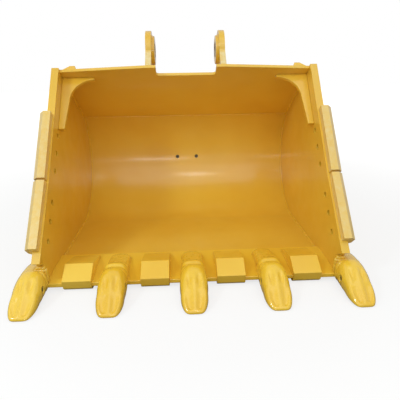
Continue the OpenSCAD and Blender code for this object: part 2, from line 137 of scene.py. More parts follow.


# %% [markdown]
# ## The enamel
#
# The real finish is a two-part construction enamel sprayed over primer in one thick wet
# coat. It gives the eye three things: a deep, slightly warm yellow; a glassy clear-looking
# top that mirrors the lamps; and a faint orange-peel texture, a few millimetres across,
# that breaks those mirrored lamps up. A Principled shader with a coat layer does exactly
# this. Under the coat, the base layer is rougher, so that highlights have a sharp core and
# a soft halo.
#
# All variants share one recipe and differ only in the sizes and heights of their bumps and in how
# much painted sheen they carry. Rolled plate shows broad waves left by the rollers, cut plate is
# flatter, castings are coarser and more rounded, weld metal is lumpy, and the shrouds and
# protectors are duller. The castings, the shrouds and the lip are painted a lighter yellow than
# the plates. This is painted light, for the light that falls on the front of the lip while the
# bowl stays in shade. The protectors carry pale clouds of painted sheen, a painted highlight for
# the glare on their faces, and so do the lower front edges of the ears.

# %% Colour and node helpers
def linear(code):
    """A colour written #RRGGBB in sRGB, as linear RGBA."""
    c = np.array([int(code[i:i + 2], 16) for i in (1, 3, 5)]) / 255
    c = np.where(c <= 0.04045, c / 12.92, ((c + 0.055) / 1.055) ** 2.4)
    return (*c.tolist(), 1.0)


def add(tree, kind, inputs=None, **settings):
    """Adds a node, sets its properties, and fills or links its inputs."""
    node = tree.nodes.new(kind)
    for key, value in settings.items():
        setattr(node, key, value)
    for key, value in (inputs or {}).items():
        socket = next(s for s in node.inputs if s.name == key and s.enabled) if isinstance(
            key, str) else node.inputs[key]
        if isinstance(value, bpy.types.NodeSocket):
            tree.links.new(value, socket)
        else:
            socket.default_value = value
    return node


def new_material(name):
    """An empty node material with its output, its tree and its Object coordinates."""
    material = bpy.data.materials.new(name)
    material.use_nodes = True
    tree = material.node_tree
    tree.nodes.clear()
    output = add(tree, "ShaderNodeOutputMaterial")
    place = add(tree, "ShaderNodeTexCoord").outputs["Object"]
    return material, tree, output, place


def noise(tree, vector, size, detail, roughness=0.5):
    """The value of a noise whose blobs are about size metres wide."""
    return add(tree, "ShaderNodeTexNoise",
               {"Vector": vector, "Scale": 1 / size, "Detail": detail,
                "Roughness": roughness}).outputs["Fac"]


def pull(tree, vector, stretch):
    """Coordinates scaled along each axis, so that a pattern is drawn out."""
    return add(tree, "ShaderNodeMapping",
               {"Vector": vector, "Scale": stretch}).outputs["Vector"]


def remap(tree, value, start, end, low, high):
    """value carried from the range start to end onto the range low to high."""
    return add(tree, "ShaderNodeMapRange",
               {"Value": value, "From Min": start, "From Max": end, "To Min": low,
                "To Max": high}).outputs["Result"]


def math_node(tree, operation, first, second):
    """The result of an operation, such as ADD or MULTIPLY, on two values."""
    return add(tree, "ShaderNodeMath", {0: first, 1: second},
               operation=operation).outputs["Value"]


def ramp(tree, value, *stops):
    """A colour for each value, from (position, #RRGGBB) stops in rising order."""
    node = add(tree, "ShaderNodeValToRGB", {"Fac": value})
    line = node.color_ramp.elements
    line[0].position, line[0].color = stops[0][0], linear(stops[0][1])
    line[1].position, line[1].color = stops[-1][0], linear(stops[-1][1])
    for position, code in stops[1:-1]:
        line.new(position).color = linear(code)
    return node.outputs["Color"]


def bump(tree, height, distance, under=None):
    """A normal raised by height times distance in metres, on top of the normal under it."""
    inputs = {"Height": height, "Strength": 1.0, "Distance": distance}
    if under is not None:
        inputs["Normal"] = under
    return add(tree, "ShaderNodeBump", inputs).outputs["Normal"]


print("middle grey #808080 as linear light:", round(linear("#808080")[0], 3))


# %% Enamel recipe
TONES = ("#E7B532", "#ECBD38", "#F0C440")  # where the coat is thin, middling and thick
# Lighter tones for the castings, shrouds and lip: painted light, for the light falling on the
# front of the lip while the bowl stays in shade.
PAINTED_LIGHT_TONES = ("#F0C030", "#F5C938", "#F9D146")
# Pale tone of the painted sheen: a painted highlight on the protectors and the ears' lower front
# edges.
SHEEN_TONE = "#EEDDA6"
DRIFT_SIZE, CLOUD_SIZE, HANDLED_SIZE, PEEL_SIZE = mm(420), mm(22), mm(90), mm(4)
PEEL_HEIGHT = mm(0.02)
EAR_SLANT = (0, 1, -1.03)  # square to the ears' slanting lower front edge
EAR_FADE, EAR_FADE_UP = mm(6), mm(25)


def painted_sheen(tree, place, colour, sheen_share, patch):
    """colour clouded with pale clouds of painted sheen, up to the share given: a painted highlight
    for glossy faces that catch the light. A patch (front, top) keeps the clouds to where y - 1.03
    z < front and z < top, in metres, and fades them out there."""
    clouds = noise(tree, place, CLOUD_SIZE, 5, 0.65)
    share = remap(tree, clouds, 0.35, 0.65, sheen_share * 0.4, sheen_share)
    if patch:
        front, top = patch
        slant = add(tree, "ShaderNodeVectorMath", {0: place, 1: EAR_SLANT},
                    operation="DOT_PRODUCT").outputs["Value"]
        height = add(tree, "ShaderNodeSeparateXYZ", {"Vector": place}).outputs["Z"]
        near_edge = remap(tree, slant, front, front + EAR_FADE, 1.0, 0.0)
        below = remap(tree, height, top - EAR_FADE_UP, top, 1.0, 0.0)
        share = remap(tree, math_node(tree, "MULTIPLY", near_edge, below),
                      0.0, 1.0, 0.0, share)
    return add(tree, "ShaderNodeMix", {"Factor": share, "A": colour, "B": linear(SHEEN_TONE)},
               data_type="RGBA").outputs[2]


def enamel(name, grain, grain_height, wave, wave_height, rough=0.34, top_rough=0.1,
           stretch=(1, 1, 1), tones=TONES, sheen_share=0.0, patch=None):
    """Gloss enamel. grain and wave are the sizes of the surface's fine and broad bumps in metres,
    each with its height; rough and top_rough are the roughness of the coat and of its clear top;
    stretch draws the broad waves out along an axis; tones are its colours; the last two arguments
    are the share and place of the painted sheen, pale clouds that stand for highlights."""
    material, tree, output, place = new_material(name)
    colour = ramp(tree, noise(tree, place, DRIFT_SIZE, 3),
                  *zip((0.34, 0.5, 0.68), tones))
    if sheen_share:
        colour = painted_sheen(tree, place, colour, sheen_share, patch)
    handled = noise(tree, place, HANDLED_SIZE, 5, 0.6)
    waves = noise(tree, pull(tree, place, stretch), wave, 2, 0.45)
    grains = noise(tree, place, grain, 3, 0.55)
    peel = noise(tree, place, PEEL_SIZE, 1, 0.4)
    normal = bump(tree, waves, wave_height)
    normal = bump(tree, grains, grain_height, normal)
    normal = bump(tree, peel, PEEL_HEIGHT, normal)
    shader = add(tree, "ShaderNodeBsdfPrincipled",
                 {"Base Color": colour, "Normal": normal,
                  "Roughness": remap(tree, handled, 0.35, 0.7, rough - 0.05, rough + 0.1),
                  "IOR": 1.45, "Coat Weight": 0.8, "Coat Roughness": top_rough,
                  "Coat IOR": 1.5})
    tree.links.new(shader.outputs["BSDF"], output.inputs["Surface"])
    return material


# %% [markdown]
# Each finish below gives its grain and its wave as size and height. A height is the most that the
# noise can lift the surface. It is a few hundredths of a millimetre for the grain of plate and
# castings, about a quarter on the welds and the protectors, and from a half to three millimetres
# for the broad waves.

# %% Enamels
rolled_enamel = enamel("enamel_on_rolled_plate", mm(24), mm(0.02), mm(300), mm(3.0),
                       top_rough=0.16, stretch=(0.3, 1, 1))
plate_enamel = enamel("enamel_on_cut_plate", mm(20), mm(0.03), mm(220), mm(1.2))
lip_enamel = enamel("enamel_on_lip", mm(20), mm(0.03), mm(220), mm(1.2),
                    tones=PAINTED_LIGHT_TONES)
# The ears' lower front edges carry a patch of painted sheen: a painted highlight where their
# sloped faces catch the glare.
ear_enamel = enamel("enamel_on_ear", mm(20), mm(0.03), mm(220), mm(1.2),
                    sheen_share=0.9, patch=(mm(-90), mm(5)))
cast_enamel = enamel("enamel_on_casting", mm(10), mm(0.05), mm(70), mm(0.8),
                     rough=0.24, top_rough=0.06, tones=PAINTED_LIGHT_TONES)
weld_enamel = enamel("enamel_on_weld", mm(6), mm(0.2), mm(30), mm(1.0),
                     rough=0.24, top_rough=0.06)
shroud_enamel = enamel("enamel_on_shroud", mm(14), mm(0.08), mm(70), mm(1.0),
                       rough=0.36, top_rough=0.26, tones=PAINTED_LIGHT_TONES)
# The protectors carry painted sheen all over: a painted highlight for the mottled glare on their
# faces.
guard_enamel = enamel("enamel_on_protector", mm(12), mm(0.25), mm(50), mm(0.6),
                      rough=0.38, top_rough=0.28, sheen_share=0.5)
print("enamels:", [m.name for m in bpy.data.materials if m.name.startswith("enamel")])

# %% [markdown]
# ## Bare steel
#
# The bushes are bored and greased steel, so fine turning rings run round their axis. The cross
# pins are bright drawn bar, brushed along their length. The bolts' inner ends are bare thread,
# tinted a dark brown that is painted shade for the depth of the holes they sit in. All are metals,
# so the colour lies in the reflection, and roughness comes in streaks along the tool marks.

# %% Steel recipe
OIL_FILM, FILM_SIZE, MARK_DEPTH = "#5A5750", mm(30), mm(0.03)


def steel(name, tint, mark, stretch, rough):
    """Machined steel with tool marks: noise of size mark, drawn out along the marks."""
    material, tree, output, place = new_material(name)
    marks = noise(tree, pull(tree, place, stretch), mark, 4, 0.6)
    shade = ramp(tree, noise(tree, place, FILM_SIZE, 3), (0.3, OIL_FILM), (0.6, tint))
    shader = add(tree, "ShaderNodeBsdfPrincipled",
                 {"Base Color": shade, "Metallic": 1.0,
                  "Roughness": remap(tree, marks, 0.3, 0.7, rough - 0.08, rough + 0.14),
                  "Normal": bump(tree, marks, MARK_DEPTH)})
    tree.links.new(shader.outputs["BSDF"], output.inputs["Surface"])
    return material


bored_steel = steel("steel_bored", "#9A968E", mm(3), (9, 1, 1), 0.34)
drawn_steel = steel("steel_drawn", "#B9B7B2", mm(4), (0.12, 2, 2), 0.3)
# The bolt ends are tinted dark brown: painted shade for the depth of their holes.
shade_thread_steel = steel("steel_thread_painted_shade", "#4A3A26", mm(3), (6, 1, 1), 0.5)
print("steels:", [m.name for m in bpy.data.materials if m.name.startswith("steel")])

# %% [markdown]
# ## Plates with broken edges
#
# A flame-cut plate never keeps a knife edge: it is ground, and thick paint rounds it
# further. The frame's nodes stay as they are, so each plate gets a skin instead: a copy
# of its mesh, merged and cleared of the triangles that flat faces don't need, with a live
# Bevel modifier along its sharp edges. Bevelling is far cheaper than modelling rounded
# corners by hand, and it catches the thin line of light that makes a plate look thick. A
# Weighted Normal modifier then keeps the big faces flat to the eye.

# %% Skins for plates
SHARP = math.radians(28)  # edges that turn more than this are bevelled


def skin(node, material, edge, segments=3, body=BODY):
    """A copy of a node's mesh that stands for the node, its sharp edges rounded to a width
    of edge metres."""
    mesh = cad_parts[node].data.copy()
    work = bmesh.new()
    work.from_mesh(mesh)
    bmesh.ops.remove_doubles(work, verts=work.verts, dist=mm(0.01))
    bmesh.ops.dissolve_limit(work, angle_limit=math.radians(0.05), verts=work.verts,
                             edges=work.edges, use_dissolve_boundaries=False)
    work.to_mesh(mesh)
    work.free()
    mesh.name = node + "_skin"
    mesh.shade_smooth()
    piece = put(node + "_skin", mesh)
    bevel = piece.modifiers.new("broken_edges", "BEVEL")
    bevel.width = edge
    bevel.segments = segments
    bevel.limit_method = "ANGLE"
    bevel.angle_limit = SHARP
    bevel.harden_normals = True
    bevel.use_clamp_overlap = True
    weigh = piece.modifiers.new("flat_faces", "WEIGHTED_NORMAL")
    weigh.keep_sharp = False
    return finish_piece(piece, material, body, [node])


def names(*stems):
    """The nodes whose names start with one of the stems, in order."""
    return sorted(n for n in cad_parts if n.startswith(stems))


skin("wrapper_shell", rolled_enamel, mm(1.5))
skin("top_plate", plate_enamel, mm(2))
skin("lip_plate", lip_enamel, mm(3))
for node in names("side_plate", "side_bar", "corner_gusset", "top_corner_lug"):
    skin(node, plate_enamel, mm(2.5))
for node in names("hinge_ear"):
    skin(node, ear_enamel, mm(2.5))
for node in names("arm_pin_boss", "link_pin_boss"):
    skin(node, plate_enamel, mm(3))
for node in names("wear_strip"):
    skin(node, plate_enamel, mm(3))
for node in names("side_protector"):
    skin(node, guard_enamel, mm(5), segments=4)
for node in names("lip_shroud"):
    skin(node, shroud_enamel, mm(8), segments=4)

# %% [markdown]
# Bolts and bushes wear two finishes each. A bolt is painted with the bucket, but the end that
# shows in the mouth is bare thread, tinted dark as painted shade for the hole it sits in. A bush
# has a bare bore and painted end faces. The cross pins are bare all over, and each rides on its
# own sliding body.

# %% Bolts, bushes and cross pins
THREAD_SHOWN = mm(2.5)


def vectors(items, what):
    """A vector property of all of a mesh's faces or vertices, as an array (count, 3)."""
    values = np.empty(len(items) * 3, np.float32)
    items.foreach_get(what, values)
    return values.reshape(-1, 3).astype(float)


def second_finish(piece, material, chosen):
    """Gives the chosen faces, an array of true and false, a second material."""
    piece.data.materials.append(material)
    piece.data.polygons.foreach_set("material_index", chosen.astype(np.int32))


for node in names("protector_bolts"):
    bolts = skin(node, plate_enamel, mm(1))
    inner_end = np.abs(vectors(bolts.data.vertices, "co")[:, 0]).min()
    centres = np.abs(vectors(bolts.data.polygons, "center")[:, 0])
    second_finish(bolts, shade_thread_steel, centres < inner_end + THREAD_SHOWN)
for node in names("arm_pin_bush", "link_pin_bush"):
    bush = skin(node, bored_steel, mm(1.5))
    facing = np.abs(vectors(bush.data.polygons, "normal")[:, 0])
    second_finish(bush, plate_enamel, facing > 0.5)
for number in range(1, 6):
    skin(f"tooth_pin_{number}", drawn_steel, mm(0.6), body=f"lock_pin_{number}")
print("two finishes:", names("protector_bolts", "arm_pin_bush", "link_pin_bush"))

# %% [markdown]
# ## The bucket's side view
#
# Teeth, shrouds and welds sit on lines that the plates share. These lines are drawn once
# here, as a fabricator would draw them: in a side view, with a point given as [back,
# height above the ground]. `place` turns such a point and a distance across the bucket
# into the frame's X, Y and Z.

# %% Side view
def place(x, back, height):
    """Points at x across, back along Y and height above the ground, all in millimetres."""
    x, back, height = np.broadcast_arrays(x, back, height)
    return np.stack([x / 1000, back / 1000, ground + height / 1000], axis=-1)


def edge_of(node, end, axis):
    """One face of a node's box in millimetres: end 0 is the low side, 1 the high side."""
    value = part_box(node)[end][axis] - (ground if axis == 2 else 0)
    return value * 1000


def middle_of(node, axis):
    """The middle of a node's box along an axis, in millimetres."""
    return (edge_of(node, 0, axis) + edge_of(node, 1, axis)) / 2


HALF_INNER = edge_of("side_bar_right", 0, 0)
BAR_OUT = edge_of("side_bar_right", 1, 0)
LIP_FRONT, LIP_BACK = edge_of("lip_plate", 0, 1), edge_of("lip_plate", 1, 1)
LIP_TOP = edge_of("lip_plate", 1, 2)
TOOTH_X = [middle_of(f"tooth_{i}", 0) for i in range(1, 6)]
SHROUD_X = [middle_of(f"lip_shroud_{i}", 0) for i in range(1, 5)]
SHELL_T = 16
ROLL_R, ROLL_H = 365, 397  # the bowl's inner radius and the height of its axis
CREASE = math.radians(40.5)  # where the roll ends and the top plate starts
TOP_SLOPE, TOP_LEN, TOP_T = math.radians(32.6), 523, 16
CREASE_AT = np.array([ROLL_R * math.cos(CREASE), ROLL_H + ROLL_R * math.sin(CREASE)])
ALONG = np.array([-math.cos(TOP_SLOPE), math.sin(TOP_SLOPE)])
OUT = np.array([math.sin(TOP_SLOPE), math.cos(TOP_SLOPE)])


def on_top(along, out):
    """A point on the top plate: along from the crease up its slope, out square to it."""
    return CREASE_AT + along * ALONG + out * OUT


print("half inner", round(HALF_INNER, 1), "teeth at", np.round(TOOTH_X, 1),
      "lip's front and top", round(LIP_FRONT, 1), round(LIP_TOP, 1))

# %% [markdown]
# ## Teeth
#
# The teeth are steel castings of the rock pattern: a box at the rear that slips over the
# adapter's nose, a rounded crown, and a blunt chisel tip. A central rib runs the length of
# the crown. Two short flutes lie beside it where the box ends, and two long scoops lie in
# front of them, each with a raised rim. The hollows save weight and let dirt wear the
# tooth to a sharp edge.
#
# One tooth is a tube of rounded-square sections from rear to tip. A section with half
# width a and half height b is the superellipse
#
#     x = a * sgn(cos p) * |cos p| ** (2 / n),   z = b * sgn(sin p) * |sin p| ** (2 / n)
#
# where n = 2 gives an ellipse and a large n a rectangle. The flutes and scoops are smooth
# bumps taken away from the upper half. A grid gives full control of these soft hollows,
# which no stack of modifiers would.

# %% Smooth building blocks
def ease(value, start, end):
    """Smoothstep: 0 below start, 1 above end, with level ends."""
    t = np.clip((value - start) / (end - start), 0, 1)
    return t * t * (3 - 2 * t)


def dome(value, middle, reach):
    """A smooth bump: 1 at middle, 0 from reach away."""
    t = np.clip(np.abs(value - middle) / reach, 0, 1)
    return (1 - t * t) ** 2


def through(value, stations, heights):
    """A smooth curve through the points (station, height), by monotone cubic pieces."""
    stations, heights = np.array(stations, float), np.array(heights, float)
    gap = np.diff(stations)
    rise = np.diff(heights) / gap
    inner = np.where(rise[:-1] * rise[1:] > 0,
                     2 * rise[:-1] * rise[1:] / (rise[:-1] + rise[1:] + 1e-12), 0)
    slope = np.concatenate([rise[:1], inner, rise[-1:]])
    at = np.clip(np.searchsorted(stations, value) - 1, 0, len(gap) - 1)
    t = (value - stations[at]) / gap[at]
    return (heights[at] * (1 + 2 * t) * (1 - t) ** 2 + gap[at] * slope[at] * t * (1 - t) ** 2
            + heights[at + 1] * t * t * (3 - 2 * t) + gap[at] * slope[at + 1] * t * t * (t - 1))


def section(half_w, top, bottom, power, waist=0.4, points=96):
    """Rounded-square loops, one for each row. top and bottom are heights, waist is the share
    of the height at which the section is widest. Returns x and height arrays."""
    p = np.linspace(0, 2 * np.pi, points, endpoint=False)[None, :]
    n = np.asarray(power, float)[:, None]
    c, s = np.cos(p), np.sin(p)
    x = half_w[:, None] * np.sign(c) * np.abs(c) ** (2 / n)
    middle = (bottom + waist * (top - bottom))[:, None]
    up, down = top[:, None] - middle, middle - bottom[:, None]
    z = middle + np.where(s > 0, up, down) * np.sign(s) * np.abs(s) ** (2 / n)
    return x, z


# %% A tooth
REAR, TIP = edge_of("tooth_3", 1, 1), edge_of("tooth_3", 0, 1)
TOOTH_HALF = (edge_of("tooth_3", 1, 0) - edge_of("tooth_3", 0, 0)) / 2
PIN_AT = middle_of("tooth_pin_3", 1), middle_of("tooth_pin_3", 2)


def tooth_sections(ahead, length):
    """Half width, top, bottom and power of each section, by its distance ahead of the rear
    rim in millimetres. The box narrows into the blade, and the top falls to the tip."""
    rim = ease(ahead, -1, 9) * 5 - 5  # rounds the rear edge
    tip = np.clip(1 - np.clip((ahead - length + 80) / 80, 0, 1) ** 2.6, 0, 1) ** (1 / 2.6)
    nose = np.clip(1 - np.clip((ahead - length + 9) / 9, 0, 1) ** 2, 0, 1) ** 0.5
    half = through(ahead, [0, 40, 75, 104, 130, 165, length],
                   [57, TOOTH_HALF, TOOTH_HALF, 57.5, 57, 54, 50]) * (0.36 + 0.64 * tip) + rim
    top = through(ahead, [0, 14, 50, 84, 120, 165, length],
                  [118, 120, 113, 98, 73, 42, 14]) + rim - 4 * (1 - nose)
    bottom = 1 + 4 * (1 - ease(ahead, 0, 8)) + 3 * (1 - nose)
    power = through(ahead, [0, 60, 120, length], [2.5, 2.5, 2.7, 3.2])
    return half, top, bottom, power


def tooth_relief(side, v, length):
    """Two heights in millimetres: the crown's rib less its flutes and scoops, and the crest
    along its edges. Each is a bump across, in side = |x| / a, times an easing along v."""
    rib = 3.5 * dome(side, 0, 0.16) * ease(v, 50, 90) * (1 - ease(v, length - 16, length - 3))
    flute = 11 * dome(side, 0.36, 0.24) * dome(v, 88, 42)
    spread = 0.40 + 0.05 * ease(v, 120, 170)
    scoop = 8 * dome(side, spread, 0.36) * ease(v, 108, 150) * (
        1 - ease(v, length - 20, length - 3))
    crest = 2.5 * dome(side, 0.84, 0.2) * ease(v, 100, 130) * (1 - ease(v, length - 30, length))
    return rib - flute - scoop, crest


def tooth_grid(middle):
    """The tooth at X = middle, as a grid of points from its rear rim to its tip.

    Row f of 0 to 1 lies v = length * (f - 0.07 sin(2 pi f)) ahead of the rim, which draws
    the rows closer at both ends. A row is a superellipse of half width a(v) between
    bottom(v) and top(v), and then z + upper * relief(|x| / a, v) + crest, where upper eases
    from 0 at half height to 1 near the top."""
    rows = 130
    f = np.linspace(0, 1, rows)
    f = f - 0.07 * np.sin(2 * np.pi * f)
    back = REAR + (TIP - REAR) * f
    ahead = REAR - back
    length = REAR - TIP
    half, top, bottom, power = tooth_sections(ahead, length)
    x, z = section(half, top, bottom, power)
    side = np.abs(x / half[:, None])
    upper = ease(z, (bottom + 0.5 * (top - bottom))[:, None],
                 (bottom + 0.82 * (top - bottom))[:, None])
    relief, crest = tooth_relief(side, ahead[:, None], length)
    z = z + upper * relief + crest * ease(z, 8, 30)
    from_pin = np.hypot(back[:, None] - PIN_AT[0], z - PIN_AT[1])
    x = x - np.sign(x) * 30 * (1 - ease(from_pin, 11, 13)) * (side > 0.8)  # the pin's hole
    return place(middle + x, back[:, None], z)


for number, middle in enumerate(TOOTH_X, 1):
    tooth = closed_tubes(f"cast_tooth_{number}", [tooth_grid(middle)])
    finish_piece(tooth, cast_enamel, stands_for=[f"tooth_{number}"])

# %% [markdown]
# ## Adapters
#
# The adapters are castings too, welded to the lip. Behind the tooth a shoulder rises to
# the tooth's rim; behind that a strap runs up the lip and ends in a round nose. The tooth's
# box hides the adapter's own nose, and a short jaw grips the lip from below. Again one
# tube does it: the sections shrink to nothing at the strap's rear in a half circle.

# %% Adapters
def adapter_grid(middle):
    """The adapter at X = middle, as a grid from the strap's rear to the end of its nose.

    The strap's rear is a half circle: over its first 48 mm the half width is scaled by
    sqrt(1 - (1 - v / 48) ** 2), where v is the distance ahead of the rear. A groove and a
    ridge run across the shoulder just behind the tooth's rim."""
    rows = 110
    start, end = edge_of("adapter_3", 1, 1), edge_of("adapter_3", 0, 1)
    f = np.linspace(0, 1, rows)
    ahead = (start - end) * (0.75 * f + 0.25 * f * f)
    back = start - ahead
    round_end = np.sqrt(np.clip(1 - (1 - np.clip(ahead / 48, 0, 1)) ** 2, 0.0025, 1))
    half = through(ahead, [0, 60, 150, 205, 255, 266, 280, 374],
                   [46, 47, 49, 55, 57, 54, 40, 30]) * round_end
    top = through(ahead, [0, 14, 90, 150, 196, 216, 256, 266, 280, 374],
                  [56, 67, 82, 93, 106, 108, 111, 104, 92, 53])
    bottom = through(ahead, [0, 160, 184, 266, 280, 374], [40, 40, 1, 1, 16, 25])
    power = through(ahead, [0, 120, 200, 374], [3.4, 3.2, 3.0, 4])
    x, z = section(half, top, bottom, power, waist=0.45)
    upper = ease(z, (bottom + 0.4 * (top - bottom))[:, None], top[:, None] - 4)
    dip = 5 * dome(ahead, 224, 14) - 4 * dome(ahead, 200, 14)
    z = z - upper * dip[:, None]
    return place(middle + x, back[:, None], z)


for number in (2, 3, 4):
    adapter = closed_tubes(f"cast_adapter_{number}", [adapter_grid(TOOTH_X[number - 1])])
    finish_piece(adapter, cast_enamel, stands_for=[f"adapter_{number}"])
print("middle adapters at", np.round(TOOTH_X[1:4], 1))

# %% [markdown]
# The corner adapters have no room for a strap in the middle, because the side bars stand
# there. They keep the shoulder and the nose, and their strap runs back along the bars'
# outer side. So each is two tubes: the front part of the same casting, and a narrower
# strap beside the bar.

# %% Corner adapters
def corner_grids(middle):
    """Shoulder with nose, and the strap outside the bar, for a corner adapter. Both are
    tubes of superellipse sections, with rows evenly spaced along them."""
    rows = 80
    f = np.linspace(0, 1, rows)
    start, end = LIP_FRONT + 3, edge_of("adapter_3", 0, 1)
    ahead = (start - end) * f
    swell = np.sqrt(np.clip(1 - (1 - np.clip(ahead / 9, 0, 1)) ** 2, 0.06, 1))
    half = through(ahead, [0, 12, 20, 28, 40, 141], [52, 57, 57, 54, 40, 30]) * (
        0.8 + 0.2 * swell)
    top = through(ahead, [0, 8, 20, 28, 40, 141], [96, 108, 111, 104, 92, 53])
    bottom = through(ahead, [0, 6, 28, 40, 141], [22, 4, 2, 16, 25])
    x, z = section(half, top, bottom, np.full(rows, 3.2), waist=0.45)
    front = place(middle + x, (start - ahead)[:, None], z)
    rear = edge_of("adapter_3", 1, 1)
    back = rear - (rear - LIP_FRONT + 12) * f
    run = back[0] - back
    round_end = np.sqrt(np.clip(1 - (1 - np.clip(run / 40, 0, 1)) ** 2, 0.0025, 1))
    top = through(run, [0, 12, 90, 190, 248], [56, 66, 84, 104, 106])
    x, z = section(33 * round_end, top, np.full(rows, 40.0), np.full(rows, 3.4))
    outside = math.copysign(BAR_OUT + 34, middle)
    return [front, place(outside + x, back[:, None], z)]


for number in (1, 5):
    adapter = closed_tubes(f"cast_adapter_{number}", corner_grids(TOOTH_X[number - 1]))
    finish_piece(adapter, cast_enamel, stands_for=[f"adapter_{number}"])
print("corner adapters at", np.round([TOOTH_X[0], TOOTH_X[4]], 1))

# %% [markdown]
# ## Weld beads
#
# Every joint on the bucket is closed by a fillet weld. A fillet is laid as a row of small
# pools that freeze one over the other, so the bead's width swells and its surface ripples
# every few millimetres. A bead here is a thin tube along a path. Its radius varies with the
# distance s along the path,
#
#     r(s) = r0 * (1 + 0.16 * (saw(s / ripple) - 0.5) + 0.07 * sin(s / 23 + 1.3)
#                    + 0.05 * sin(s / 9.1)),   s in millimetres,
#
# where the saw gives each frozen pool its steep rear edge, and the two slow sines stand for
# the welder's hand.

# %% Bead maker
RIPPLE = 5.0  # millimetres from one frozen pool to the next
GUIDE = np.array([0.31, 0.22, 0.93])  # a direction that no bead follows


def bead_grid(path, radius, rise=2.6):
    """A ten-sided tube round a polyline path (n, 3) in metres. radius and rise are in
    millimetres; rise is the distance between rings. Its ends close like a drop's."""
    path = np.asarray(path, float)
    legs = np.linalg.norm(np.diff(path, axis=0), axis=1)
    run = np.concatenate([[0], np.cumsum(legs)])
    count = max(int(run[-1] * 1000 / (rise * 1)), 6)
    s = np.linspace(0, run[-1], count)
    line = np.stack([np.interp(s, run, path[:, k]) for k in range(3)], axis=-1)
    ahead = np.gradient(line, axis=0)
    ahead /= np.linalg.norm(ahead, axis=1)[:, None] + 1e-12
    side = np.cross(ahead, GUIDE)
    side /= np.linalg.norm(side, axis=1)[:, None] + 1e-12
    other = np.cross(ahead, side)
    d = s * 1000
    saw = (d / RIPPLE) % 1
    size = radius * (1 + 0.16 * (saw - 0.5) + 0.07 * np.sin(d / 23 + 1.3) + 0.05 * np.sin(d / 9.1))
    ends = np.sqrt(np.clip(np.minimum(d, d[-1] - d) / radius + 0.04, 0, 1))
    size = size * ends / 1000
    p = np.linspace(0, 2 * np.pi, 10, endpoint=False)
    ring = np.cos(p)[None, :, None] * side[:, None] + np.sin(p)[None, :, None] * other[:, None]
    return line[:, None] + ring * size[:, None, None]


def sided(path):
    """A path and its copy mirrored to the other side of the bucket."""
    return [path, path * np.array([-1, 1, 1])]


def corner_path(x, points):
    """A path at one distance x across, through side-view points."""
    points = np.array(points, float)
    return place(x, points[:, 0], points[:, 1])


def roll_arc(radius, start, end, points=60):
    """Side-view points on the bowl's roll, between two angles in radians."""
    turn = np.linspace(start, end, points)
    return np.column_stack([radius * np.cos(turn), ROLL_H + radius * np.sin(turn)])


print("a bead ring has", bead_grid([[0, 0, 0], [0, 0.1, 0]], 5).shape[1], "points")

# %% [markdown]
# The weld paths, joint by joint: both ends of the rolled shell and the crease against the
# side plates; the shell's crease with the top plate; the lip's rear edge on the floor; the
# bars along the sides; ears and lugs on the top plate; straps and shrouds on the lip.

# %% Welds of the bowl and the ears
FLOOR_H = ROLL_H - ROLL_R


def weld(name, paths, radius):
    """One piece made of the beads along the given paths."""
    beads = closed_tubes(name, [bead_grid(path, radius) for path in paths])
    return finish_piece(beads, weld_enamel)


bowl = np.vstack([[LIP_BACK + 20, FLOOR_H], roll_arc(ROLL_R, math.radians(-90), CREASE),
                  on_top(TOP_LEN - 60, 0)])
weld("weld_bowl_sides", sided(corner_path(HALF_INNER - 1, bowl)), 5)

across = np.linspace(-HALF_INNER, HALF_INNER, 3)
weld("weld_crease", [place(across, CREASE_AT[0], CREASE_AT[1])], 3)
weld("weld_lip_rear", [place(across, LIP_BACK + 1, FLOOR_H)], 5)

foot = [on_top(a, TOP_T + 1) for a in np.linspace(30, TOP_LEN + 10, 12)]
faces = [edge_of(ear, end, 0) + out for ear in names("hinge_ear")
         for end, out in ((0, -1), (1, 1))]
weld("weld_ears", [corner_path(x, foot) for x in faces], 7)

# %% [markdown]
# The lip's top face is level at the back and falls towards its front edge, so beads that
# run along it follow that fall. A strap's bead goes up one edge, round its end and back
# down the other; a shroud's bead goes round three sides of it. A corner adapter is built
# up with stacked runs where it meets the bar.

# %% Welds of the lip
LIP_FALL, FALL_FROM, FALL_TO = 12, 631, 757


def lip_surface(back):
    """Height of the lip's top face at a distance along Y."""
    return LIP_TOP - LIP_FALL * ease(-back, FALL_FROM, FALL_TO)


edge = np.array([[49, -560], [47, -620], [50, -690], [55, -728]])
half_turn = np.radians(np.linspace(0, 180, 19))
round_end = np.column_stack([48 * np.cos(half_turn), -569 + 48 * np.sin(half_turn)])
xs = np.concatenate([edge[::-1, 0], round_end[:, 0], -edge[:, 0]])
ys = np.concatenate([edge[::-1, 1], round_end[:, 1], edge[:, 1]])
weld("weld_straps", [place(x + xs, ys, lip_surface(ys) + 1) for x in TOOTH_X[1:4]], 4)

half = (edge_of("lip_shroud_2", 1, 0) - edge_of("lip_shroud_2", 0, 0)) / 2
rear, front = edge_of("lip_shroud_2", 1, 1), LIP_FRONT + 8
steps = np.linspace(0, 3, 40)
xs = np.interp(steps, range(4), [half, half, -half, -half])
ys = np.interp(steps, range(4), [front, rear, rear, front])
weld("weld_shrouds", [place(x + xs, ys, lip_surface(ys) + 0.5) for x in SHROUD_X], 3)

corners = []
for back, height in ((-749, 56), (-750, 71), (-751, 86), (-751, 101), (-749, 114)):
    corners += sided(place(np.array([641.0, 663.0, 686.0]), back, height))
for x in (642, 685):
    corners += sided(place(x, np.array([-747.0, -749.0]), np.array([44.0, 112.0])))
corners += sided(place(687, np.array([-742.0, -640.0]), np.array([84.0, 60.0])))
weld("weld_corners", corners, 9)
print("beads at each corner adapter:", len(corners) // 2)

# %% [markdown]
# The same beads close the joints that show from the sides and from behind: round the bosses, under
# the bars and along the outer edge of the shell, beside the wear strips, and round the small lugs.

